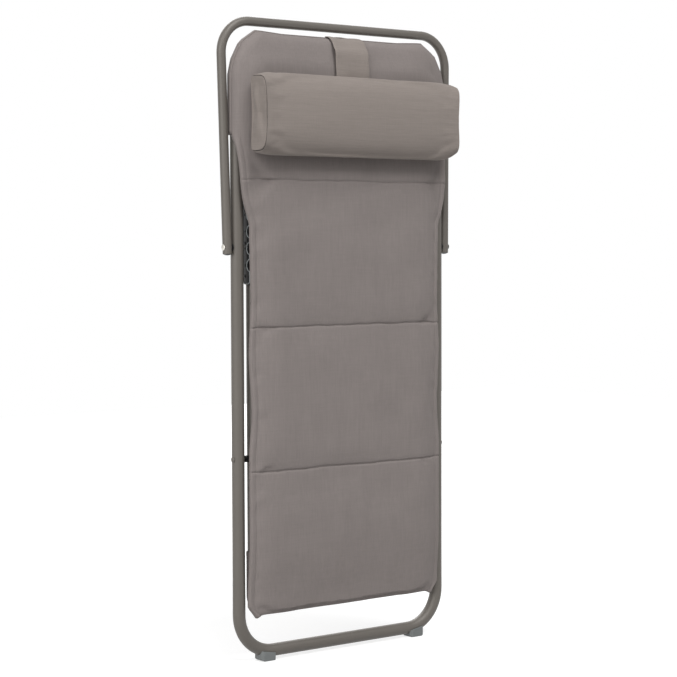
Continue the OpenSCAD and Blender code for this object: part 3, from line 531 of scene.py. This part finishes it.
def sling_pad():
    """The whole sling as one quilted pad, with its stitches."""
    rise = [LONG_TOP + WRAP_LONG * math.sin(math.radians(a)) for a in (90, 82, 74, 66, 57, 48, 38, 27, 15, 5)]
    rows = rise + list(np.arange(LONG_TOP - 6, LOW_Z + 1.5, -6.0))
    for seam_z in SEAMS:
        rows += [seam_z + k for k in (-8, -5, -3, -1.5, 0, 1.5, 3, 5, 8)]
    rows += [LOW_Z + k for k in (0, 0.5, 1.5, 3, 5, 7, 8.5, 10, 12, CUT_H)]
    rows = np.array(sorted(set(round(r, 2) for r in rows), reverse=True))
    keep = [0]
    for k in range(1, len(rows)):
        if rows[keep[-1]] - rows[k] > 0.35:
            keep.append(k)
    rows = rows[keep]
    near = np.array([0, 0.25, 0.8, 1.7, 3, 4.6, 6.5, 8.8, 10.8, 12, 13.2, 15, 18, 22, 27, 33, 40, 50, 62])
    inner = np.linspace(1, -1, 33)[1:-1]
    half = outline_half(rows)
    xs = np.concatenate([
        -(half[:, None] - near[None, :]),
        -(half[:, None] - near[-1]) * inner[None, :],
        (half[:, None] - near[None, ::-1]),
    ], axis=1)
    zs = np.repeat(rows[:, None], xs.shape[1], axis=1)
    front, back = sling_front(xs, zs, half[:, None])
    # The lower hem is a little wavy and its corners hang lower
    hang = 5.0 * np.exp(-((np.abs(xs) - SLING_HALF + CUT_W + 1) / 8) ** 2) + 0.8 * ripples(xs, 0 * xs, 120, 77)
    moved = hang * np.clip(1 - (zs - LOW_Z) / 45, 0, 1)
    # The lower hem closes on itself
    low = np.sqrt(np.clip(1 - (1 - np.clip((zs - LOW_Z) / 4, 0, 1)) ** 2, 0, 1))
    middle = (front + back) / 2
    front, back = middle + (front - middle) * low, middle + (back - middle) * low
    n, m = xs.shape
    zs = zs - moved
    xs, zs = corner_stretch(xs, zs)
    faces = [np.stack([xs, depth, zs], -1) for depth in (front, back)]
    seams = [int(np.argmin(np.abs(rows - z))) for z in SEAMS + (LOW_Z + 7, LOW_Z + 10)]
    sewn = rows < LONG_TOP - 30
    lines = [faces[0][k, 9:-9] for k in seams] + [faces[0][sewn, j] for j in (9, m - 10)]
    seen = rows < TOP_HEM
    behind = [faces[1][k, 9:-9] for k in seams] + [faces[1][seen, j] for j in (9, m - 10)]
    points = np.concatenate([f.reshape(-1, 3) for f in faces])
    return (make_mesh("sling_pad", points, shell_faces(n, m), SLING),
            [sew("sling_stitches", lines, -1), sew("sling_back_stitches", behind, 1)])


def u_path(half_w, end_z, bar_z, corner_r, up, leg=14, arc=14, bar=30):
    """Points and outward normals along a U of tube, from its left end round to its right end."""
    sign = 1 if up else -1
    arc_z = bar_z - sign * corner_r
    pts = [(-half_w, end_z + (arc_z - end_z) * t, -1, 0) for t in np.linspace(0, 1, leg, endpoint=False)]
    for a in np.linspace(180, 90, arc, endpoint=False):
        c, s = math.cos(math.radians(a)), math.sin(math.radians(a)) * sign
        pts.append((-(half_w - corner_r) + corner_r * c, arc_z + corner_r * s, c, s))
    pts += [(x, bar_z, 0, sign) for x in np.linspace(-(half_w - corner_r), 0, bar)]
    left = np.array(pts)
    right = left[-2::-1] * (-1, 1, -1, 1)
    return np.concatenate([left, right])


def pocket_back(name, path, radius, hem_z, start_rings, sag, seed, thickness):
    """A sheet that starts at the sling's edge, goes round the tube and closes the pocket's back."""
    px, pz, nx, nz = path.T
    rings = list(start_rings)
    for a in (-20, 0, 15, 30, 45, 60, 75, 90):
        c, s = math.cos(math.radians(a)), math.sin(math.radians(a))
        rings.append((px + radius * c * nx, np.full_like(px, radius * s), pz + radius * c * nz))
    for share in (0.985, 0.96, 0.92, 0.86, 0.78, 0.68, 0.57, 0.45, 0.33, 0.21, 0.1, 0.02):
        x, z = px * share, hem_z + (pz - hem_z) * share
        fall = sag * (1 - share ** 2) + 0.5 * ripples(x, z, 90, seed) * min(1, 8 * (1 - share))
        rings.append((x, radius - fall, z))
    pts = np.stack([np.stack(np.broadcast_arrays(*ring), -1) for ring in rings])
    pts[..., 0], pts[..., 2] = corner_stretch(pts[..., 0], pts[..., 2])
    n, m = pts.shape[:2]
    # Turned hem of the pocket's opening
    pts[len(start_rings) + 3:, [0, 1, m - 2, m - 1], 1] += 0.7
    up = pz[m // 2] > hem_z
    obj = make_mesh(name, pts.reshape(-1, 3), grid_faces(n, m, flip=up), SLING)
    solid = obj.modifiers.new("thickness", "SOLIDIFY")
    solid.thickness = thickness * MM
    solid.offset = -1
    return obj, sew(name.replace("cloth", "stitches"), [pts[len(start_rings) + 8:, j] for j in (1, m - 2)], 1)


RELIEF = quilt_relief()
sling, sling_sewn = sling_pad()
top_path = u_path(LONG_X, TOP_HEM, LONG_TOP, LONG_CORNER, True)
top_back, top_sewn = pocket_back("top_pocket_cloth", top_path, WRAP_LONG, TOP_HEM, [], 1.5, 80, CLOTH_T)

low_path = u_path(SEAT_X, LOW_HEM, SEAT_LOW, POCKET_CORNER, False)
lx, lz, lnx, lnz = low_path.T
with np.errstate(divide="ignore", invalid="ignore"):
    reach = np.full_like(lx, 60.0)
    reach = np.where(np.abs(lnx) > 0.01, np.minimum(reach, (SLING_HALF - 2 - np.abs(lx)) / np.abs(lnx)), reach)
    reach = np.where(lnz < -0.01, np.minimum(reach, (lz - LOW_Z - 1) / -lnz), reach)
    cut_n = np.array([CUT_H, -CUT_W]) / math.hypot(CUT_H, CUT_W)
    cut_c = cut_n[0] * (SLING_HALF - CUT_W - 1) + cut_n[1] * LOW_Z
    toward = cut_n[0] * np.abs(lnx) + cut_n[1] * lnz
    cut_reach = (cut_c - cut_n[0] * np.abs(lx) - cut_n[1] * lz) / toward
    reach = np.where(toward > 0.05, np.minimum(reach, cut_reach), reach)
edge_ring = (lx + reach * lnx, np.full_like(lx, -15.5), lz + reach * lnz)
mid_reach = LOW_WRAP + (reach - LOW_WRAP) * 0.45
mid_ring = (lx + mid_reach * lnx, np.full_like(lx, -10.0), lz + mid_reach * lnz)
low_back, low_sewn = pocket_back("bottom_pocket_cloth", low_path, LOW_WRAP, LOW_HEM, [edge_ring, mid_ring],
                                 1.0, 81, 1.0)

# ---------------------------------------------------------------- pillow

PILLOW_HALF = 245.0
PILLOW_DEEP, PILLOW_TALL = 24.0, 79.0  # half its depth and height
PILLOW_MIDDLE = (3.5, -60.0, 1067.0)
PILLOW_RING = 72


def section_loop(half_y, half_z, power):
    """Evenly spaced points round a cushion's section, from the middle of its front and up."""
    a = np.linspace(0, math.tau, 721)
    y = -half_y * np.sign(np.cos(a)) * np.abs(np.cos(a)) ** power
    z = half_z * np.sign(np.sin(a)) * np.abs(np.sin(a)) ** power
    # The back is flatter, and the front a little lower
    back = y > 0
    y[back] = half_y * np.tanh(y[back] / half_y * 2.2) / math.tanh(2.2)
    z *= 1 - 0.05 * np.clip(-y / half_y, 0, 1)
    along = np.concatenate([[0], np.cumsum(np.hypot(np.diff(y), np.diff(z)))])
    at = np.linspace(0, along[-1], PILLOW_RING, endpoint=False)
    return np.stack([np.interp(at, along, y), np.interp(at, along, z)], -1)


def pillow_ring(x, inset=0.0):
    """One ring of points round the cushion, without its wrinkles."""
    edge = PILLOW_HALF - abs(x)
    near_end = math.exp(-max(edge - 2, 0) / 13)
    loop = section_loop(PILLOW_DEEP, PILLOW_TALL - 6.5 * near_end, 0.86 - 0.48 * near_end)
    low = loop[:, 1] < 0
    if x > 0:
        loop[low, 1] *= 1 - 0.1 * math.exp(-edge / 16)
    size = np.hypot(*loop.T)
    loop *= (1 - inset / size)[:, None]
    slack = 1 - (loop[:, 1] / PILLOW_TALL) ** 2
    draw = np.where(loop[:, 0] < 0, 4.5, 1.5) * slack * math.exp(-edge / 30)
    return np.column_stack([x - math.copysign(1, x) * draw, loop])


def pillow_wrinkles():
    """How the cushion's cloth wrinkles when it is blown up between its sewn ends, along it and round it."""
    xs = np.linspace(-PILLOW_HALF + 2, PILLOW_HALF - 2, 70)
    rings = np.stack([pillow_ring(x) * (1, 0.93, 0.97) for x in xs])
    n, m = rings.shape[:2]
    faces = grid_faces(n, m, wrap=True) + [tuple(range(m)), tuple(range((n - 1) * m, n * m))[::-1]]
    start = rings.reshape(-1, 3)
    sack = make_mesh("sack", start, faces, PILLOW)
    held = list(range(m)) + list(range((n - 1) * m, n * m))
    move = swell(sack, 4.0, 20, held, 0.012, 0.6) / MM - (0, FRAME_Y, 0) - start
    bpy.data.objects.remove(sack)
    size = np.linalg.norm(move, axis=1)
    move = (move * (np.minimum(size, 8) / np.maximum(size, 1e-6))[:, None]).reshape(n, m, 3)
    broad = move.copy()
    for _ in range(14):
        broad[1:-1] = (broad[:-2] + 2 * broad[1:-1] + broad[2:]) / 4
        broad = (np.roll(broad, 1, axis=1) + 2 * broad + np.roll(broad, -1, axis=1)) / 4
    return xs, move - broad


def pillow():
    """A stuffed cushion with a sewn panel at each end, and a dark cord along each end seam whose colour is painted
    shade of the seam's groove.
    """
    mid = np.array(PILLOW_MIDDLE)
    side = [2.0, 2.6, 3.6, 5.5, 8.5, 12.5, 18]
    inner = np.linspace(-PILLOW_HALF + 25, PILLOW_HALF - 25, 62)
    xs = np.concatenate([[-PILLOW_HALF + k for k in side], inner, [PILLOW_HALF - k for k in side[::-1]]])
    body = np.stack([pillow_ring(x) for x in xs])
    at, wrinkles = pillow_wrinkles()
    for k, x in enumerate(xs):
        place = (np.clip(x, at[0], at[-1]) - at[0]) / (at[1] - at[0])
        low = min(int(place), len(at) - 2)
        body[k] += 0.8 * (wrinkles[low] * (low + 1 - place) + wrinkles[low + 1] * (place - low))
    n, m = body.shape[:2]
    points, faces = [body.reshape(-1, 3)], grid_faces(n, m, wrap=True)
    total = n * m
    # From the body's rim down into the seam's groove, up to the panel's rim and in to its middle
    steps = [(3.0, 1.0), (3.8, 2.9), (2.2, 2.2), (0.8, 1.6), (0.0, 2.6), (0.0, 4.5)]
    shares = (0.86, 0.72, 0.58, 0.44, 0.3, 0.15)
    grooves = []
    for end, side_n in ((0, -1), (n - 1, 1)):
        last = [end * m + j for j in range(m)]
        rings = [pillow_ring(side_n * (PILLOW_HALF - depth), inset) for depth, inset in steps]
        rim = rings[-1]
        centre = np.array([rim[:, 0].mean(), 0, 0])
        for share in shares:
            ring = centre + (rim - centre) * share
            ring[:, 0] = rim[:, 0] + (1 - share) * 1.5 * side_n
            fold = ripples(ring[:, 1] * 1.6, ring[:, 2] * 0.5, 30, 95) * 0.7 * min(1, 3 * (1 - share))
            ring[:, 0] += side_n * (fold - 1.2)
            rings.append(ring)
        grooves.append(rings[1] * (1, 1.014, 1.014) + mid + (side_n * 0.7, 0, 0))
        points += rings
        for _ in rings:
            new = list(range(total, total + m))
            total += m
            for j in range(m):
                quad = (last[j], last[(j + 1) % m], new[(j + 1) % m], new[j])
                faces.append(quad if side_n > 0 else quad[::-1])
            last = new
        points.append(rings[-1].mean(axis=0)[None])
        for j in range(m):
            three = (last[j], last[(j + 1) % m], total)
            faces.append(three if side_n > 0 else three[::-1])
        total += 1
    flat = np.concatenate(points)
    flat[:, 1] = np.clip(flat[:, 1], -PILLOW_DEEP, PILLOW_DEEP)
    flat[:, 2] = np.clip(flat[:, 2], -PILLOW_TALL, PILLOW_TALL)
    obj = make_mesh("pillow_cushion", flat + mid, faces, PILLOW)
    obj.modifiers.new("smooth", "SUBSURF").levels = 1
    settle(obj)
    # The dark cords in the end seams' grooves carry painted shade
    return obj, cords("pillow_seam_shade", grooves, 0.8, SEAM_SHADE)


cushion, cushion_seam_shade = pillow()

# ---------------------------------------------------------------- strap and counterweight


def ribbon(name, line, half_w, centre, thickness, material, hem=4.0, cols=13):
    """A strip of webbing along a line in the YZ plane, with thicker stitched edges."""
    line = np.array(line, float)
    steps = np.hypot(*np.diff(line, axis=0).T)
    along = np.concatenate([[0], np.cumsum(steps)])
    at = np.linspace(0, along[-1], max(8, int(along[-1] / 4)))
    y, z = (np.interp(at, along, line[:, k]) for k in (0, 1))
    ty, tz = np.gradient(y, at), np.gradient(z, at)
    size = np.hypot(ty, tz)
    ny, nz = -tz / size, ty / size
    x = np.concatenate([[-1, -0.985], np.linspace(-0.94, 0.94, cols), [0.985, 1]]) * half_w
    xx, _ = np.meshgrid(x, at)
    edge = half_w - np.abs(xx)
    bow = 0.8 * (1 - (xx / half_w) ** 2) + 0.35 * ripples(xx, at[:, None] + 0 * xx, 40, 101)
    bow -= 0.5 * np.exp(-((edge - hem) / 1.2) ** 2)
    round_e = 0.55 * np.exp(-edge / 0.8)
    pts = []
    for face, sign in ((bow + thickness / 2 - round_e, 1), (bow - thickness / 2 + round_e, -1)):
        pts.append(np.stack([xx + centre, y[:, None] + ny[:, None] * face, z[:, None] + nz[:, None] * face], -1))
    n, m = xx.shape
    points = np.concatenate([p.reshape(-1, 3) for p in pts])
    faces = [face[::-1] for face in shell_faces(n, m)]
    face = pts[1] if line[0, 0] > line[-1, 0] else pts[0]
    toward = -1 if line[0, 0] > line[-1, 0] else 1
    sewn = sew(name + "_stitches", [face[:, j] for j in (3, m - 4)], toward)
    return make_mesh(name, points, faces, material), sewn, along[-1]


def arc_line(radius, start, end, step=6):
    """Points round the top bar, as Y and Z."""
    count = max(3, int(abs(end - start) / step))
    return [(radius * math.cos(math.radians(a)), LONG_TOP + radius * math.sin(math.radians(a)))
            for a in np.linspace(start, end, count)]


STRAP_R = WRAP_LONG + 2.4
STRAP_HALF, STRAP_X, STRAP_T = 41, 4, 2.0
# Heights between which the strap's front blends from the frame to the pillow, and how far it goes down and up
STRAP_HELD, STRAP_FREE = 1224, 1160
STRAP_DOWN, STRAP_UP = -90, 40
# The strap lies in front of the sling wherever the pillow's height takes it
strap_zs = np.concatenate([np.linspace(TOP_Z - 0.3, 1213, 9), np.arange(1207, 1134, -6.0)])
strap_line = [(0.0, TOP_Z + 2.4)]
for z in strap_zs:
    share = ease((STRAP_HELD - z) / (STRAP_HELD - STRAP_FREE))
    passed = np.minimum(z + np.linspace(STRAP_DOWN, STRAP_UP, 40) * share, TOP_Z - 0.3)
    depth = sling_front(np.full(len(passed), float(STRAP_X)), passed, outline_half(passed))[0].min()
    strap_line.append((depth - 3.2 - 2 * ease((1195 - z) / 45), z + 2.4 * ease((z - 1190) / 30)))
strap, strap_sewn, strap_len = ribbon("pillow_strap_front", strap_line, STRAP_HALF, STRAP_X, STRAP_T, PILLOW)
tail_line = arc_line(STRAP_R, 90, 0) + [(STRAP_R, 1034.0)]
tail, tail_sewn, tail_len = ribbon("pillow_strap_back", tail_line, STRAP_HALF, STRAP_X, STRAP_T, PILLOW)


POUCH_FLANGE_T = 1.8  # half the flange's thickness


def pouch():
    """A flat sewn pouch with a rounded filling and a flange all round."""
    half_w, z0, z1 = 70.0, 1030.0, 1130.0
    near = [0, 0.4, 1.2, 2.6, 4.2, 5, 6, 7.4, 9, 12, 16, 22, 30]
    xs = np.array([-half_w + k for k in near] + list(np.linspace(-34, 34, 9)) + [half_w - k for k in near[::-1]])
    zs = np.array([z1 - k for k in near] + [1094, 1087, 1080, 1073, 1066] + [z0 + k for k in near[::-1]])
    xx, zz = np.meshgrid(xs, zs)
    edge = np.minimum(half_w - np.abs(xx), np.minimum(zz - z0, z1 - zz))
    half_t = POUCH_FLANGE_T * np.sqrt(np.clip(1 - (1 - np.clip(edge / POUCH_FLANGE_T, 0, 1)) ** 2, 0, 1))
    half_t = half_t + 7.6 * np.sqrt(np.clip(1 - (1 - np.clip((edge - 4.2) / 10, 0, 1)) ** 2, 0, 1))
    half_t = half_t + 0.4 * ripples(xx, zz, 34, 110) * np.clip((edge - 7) / 10, 0, 1)
    middle = (18.0 + 39.0) / 2
    n, m = xx.shape
    points = np.concatenate([np.stack([xx, middle - half_t, zz], -1).reshape(-1, 3),
                             np.stack([xx, middle + half_t, zz], -1).reshape(-1, 3)])
    w, low, high = half_w - 3.0, z0 + 3.0, z1 - 3.0
    border = np.array([(-w, low), (w, low), (w, high), (-w, high), (-w, low)], float)
    border = np.concatenate([np.linspace(border[k], border[k + 1], 12, endpoint=False) for k in range(4)])
    line = np.column_stack([border[:, 0], np.full(len(border), middle + POUCH_FLANGE_T + 0.05), border[:, 1]])
    return (make_mesh("counterweight_cloth", points, shell_faces(n, m), SLING),
            sew("counterweight_stitches", [line], 1))


pouch_obj, pouch_sewn = pouch()

# ---------------------------------------------------------------- raised rims of the notch racks, light grey as a painted highlight


RACK_FACE_X = 232.0


def rack_outline():
    """Points round a rack's plate, from its low back corner and up, as Y and Z."""
    low, high, back, front = 739.99, 898.79, 6.0, -18.0
    corner, tip, notch = 7.67, 2.0, 11.3

    def arc(y, z, r, start, end):
        count = max(3, int(abs(end - start) / 9))
        return [(y + r * math.cos(math.radians(a)), z + r * math.sin(math.radians(a)))
                for a in np.linspace(start, end, count)]

    pts = arc(back - corner, high - corner, corner, 0, 90) + arc(front + corner, high - corner, corner, 90, 180)
    for k in (3, 2, 1, 0):
        z = 776.99 + 32.6 * k
        pts += arc(front + tip, z + 12.88, tip, 180, 255.6) + arc(-19.3, z, notch, 75.6, -75.6)
        pts += arc(front + tip, z - 12.88, tip, 104.4, 180)
    pts += arc(front + corner, low + corner, corner, 180, 270) + arc(back - corner, low + corner, corner, 270, 360)
    return np.array(pts)


def rack_highlight_rim(name, side_n, inset=1.0, half_w=0.75, height=0.8):
    """A raised rim on the outer face of a rack, along its outline, light grey as a painted highlight of the rack's
    edges.
    """
    line = rack_outline()
    ahead, behind = np.roll(line, -1, axis=0), np.roll(line, 1, axis=0)
    run = ahead - behind
    run /= np.linalg.norm(run, axis=1)[:, None]
    inward = np.stack([-run[:, 1], run[:, 0]], -1)
    rings = []
    for off, x in ((-1, RACK_FACE_X - 0.4), (-0.6, RACK_FACE_X + height), (0.6, RACK_FACE_X + height),
                   (1, RACK_FACE_X - 0.4)):
        at = line + inward * (inset + off * half_w)
        rings.append(np.column_stack([np.full(len(at), side_n * x), at]))
    body = np.stack(rings, axis=1)
    n = len(body)
    faces = []
    for i in range(n):
        for j in range(4):
            quad = (i * 4 + j, i * 4 + (j + 1) % 4, (i + 1) % n * 4 + (j + 1) % 4, (i + 1) % n * 4 + j)
            faces.append(quad if side_n > 0 else quad[::-1])
    return make_mesh(name, body.reshape(-1, 3), faces, RIM_HIGHLIGHT, smooth=False)


highlight_rims = [rack_highlight_rim("rack_highlight_rim_" + side, side_n) for side, side_n in (("left", -1), ("right", 1))]

# ---------------------------------------------------------------- looks of the CAD nodes

for name, material in (
    ("long_frame", PAINT), ("seat_frame", PAINT), ("prop_frame", PAINT),
    ("front_foot_left", FOOT), ("front_foot_right", FOOT), ("rear_foot_left", FOOT), ("rear_foot_right", FOOT),
    ("foot_screws_front", RIVET), ("foot_screws_rear", RIVET), ("rack_left", RACK), ("rack_right", RACK),
    ("rack_rivets", BLACK), ("seat_pivot_rivet_left", PAINT), ("seat_pivot_rivet_right", PAINT),
    ("seat_pivot_spacer_left", BLACK), ("seat_pivot_spacer_right", BLACK),
    ("prop_pivot_rivet_left", RIVET), ("prop_pivot_rivet_right", RIVET),
    ("prop_pivot_washer_left", BLACK), ("prop_pivot_washer_right", BLACK),
    ("prop_end_cap_left", BLACK), ("prop_end_cap_right", BLACK), ("counterweight_plate", STEEL),
):
    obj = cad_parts[name]
    for material_slot in obj.material_slots:
        material_slot.material = material

# ---------------------------------------------------------------- what rides on what

LONG, SEAT = "long_frame_body", "seat_frame_body"
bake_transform(sling)
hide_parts("sling_upper", "sling_fold", "sling_lower")

for piece in sling_sewn:
    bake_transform(piece)
for sewn, body in ((top_sewn, LONG), (low_sewn, SEAT), (pouch_sewn, "counterweight_body")):
    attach(sewn, body)

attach(top_back, LONG)
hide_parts("top_pocket_back")
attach(low_back, SEAT)
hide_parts("bottom_pocket_back")

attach(cushion, "pillow_body")
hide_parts("headrest_pillow")
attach(cushion_seam_shade, "pillow_body")

for piece in (strap, strap_sewn):
    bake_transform(piece)
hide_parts("pillow_strap")
for piece in (tail, tail_sewn):
    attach(piece, LONG)

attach(pouch_obj, "counterweight_body")
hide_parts("counterweight_pouch")

for rim in highlight_rims:
    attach(rim, SEAT)

# ---------------------------------------------------------------- floor, backdrop and light


FLOOR_HALF = 5.0  # metres
WORLD_LIGHT = 0.2


def stage():
    """A floor and a world that are white to the camera, in gloss and through glass, and light the chair weakly."""
    n = Nodes("floor_look")
    ray = n.add("LightPath")
    mesh = bpy.data.meshes.new("floor")
    a = FLOOR_HALF
    mesh.from_pydata([(-a, -a, 0), (a, -a, 0), (a, a, 0), (-a, a, 0)], [], [(0, 1, 2, 3)])
    floor = bpy.data.objects.new("floor", mesh)
    bpy.context.scene.collection.objects.link(floor)
    mesh.materials.append(n.material)
    n.finish((0.48, 0.48, 0.48, 1), 0.9, Specular_IOR_Level=0.0)
    glow = n.add("Emission", Color=(1, 1, 1, 1))
    seen = n.math("MAXIMUM", ray.outputs["Is Camera Ray"], ray.outputs["Is Glossy Ray"])
    seen = n.math("MAXIMUM", seen, ray.outputs["Is Transmission Ray"])
    # Pale near the object, where its shadow falls, and white farther out
    far = n.add("VectorMath", {"operation": "LENGTH"}, i0=n.add("TexCoord").outputs["Object"]).outputs["Value"]
    n.put(glow, "Strength", n.math("MULTIPLY", seen, n.spread(far, 0.4, 1.4, 0.66, 1.0)))
    both = n.add("AddShader")
    n.tree.links.new(n.shader.outputs[0], both.inputs[0])
    n.tree.links.new(glow.outputs[0], both.inputs[1])
    n.tree.links.new(both.outputs[0], n.tree.nodes["Material Output"].inputs["Surface"])

    world = bpy.data.worlds.new("studio")
    bpy.context.scene.world = world
    world.use_nodes = True
    tree = world.node_tree
    back = tree.nodes["Background"]
    path = tree.nodes.new("ShaderNodeLightPath")
    seen = path.outputs["Is Camera Ray"]
    for kind in ("Is Glossy Ray", "Is Transmission Ray"):
        pick = tree.nodes.new("ShaderNodeMath")
        pick.operation = "MAXIMUM"
        tree.links.new(seen, pick.inputs[0])
        tree.links.new(path.outputs[kind], pick.inputs[1])
        seen = pick.outputs[0]
    strength = tree.nodes.new("ShaderNodeMapRange")
    tree.links.new(seen, strength.inputs[0])
    strength.inputs[3].default_value = WORLD_LIGHT
    strength.inputs[4].default_value = 1.0
    tree.links.new(strength.outputs[0], back.inputs["Strength"])
    back.inputs["Color"].default_value = (1, 1, 1, 1)


def lamp(name, place, target, size, power):
    """A square lamp at a place, in metres, that faces a target."""
    data = bpy.data.lights.new(name, "AREA")
    data.shape, data.size, data.energy = "SQUARE", size, power
    obj = bpy.data.objects.new(name, data)
    bpy.context.scene.collection.objects.link(obj)
    place, target = Vector(place), Vector(target)
    obj.matrix_world = Matrix.Translation(place) @ (target - place).to_track_quat("-Z", "Y").to_matrix().to_4x4()


stage()
lamp("key", (0.0, -5.2, 8.4), (0, 0, 0.6), 5.4, 590)
lamp("side", (-7.1, -4.1, 4.5), (0, 0, 0.6), 5.4, 290)
lamp("left", (-6.4, -0.6, 2.4), (0, 0, 0.6), 4.0, 86)
lamp("back", (2.0, 6.0, 5.5), (0, 0, 0.6), 5.0, 320)

bpy.context.scene.view_settings.view_transform = "Standard"
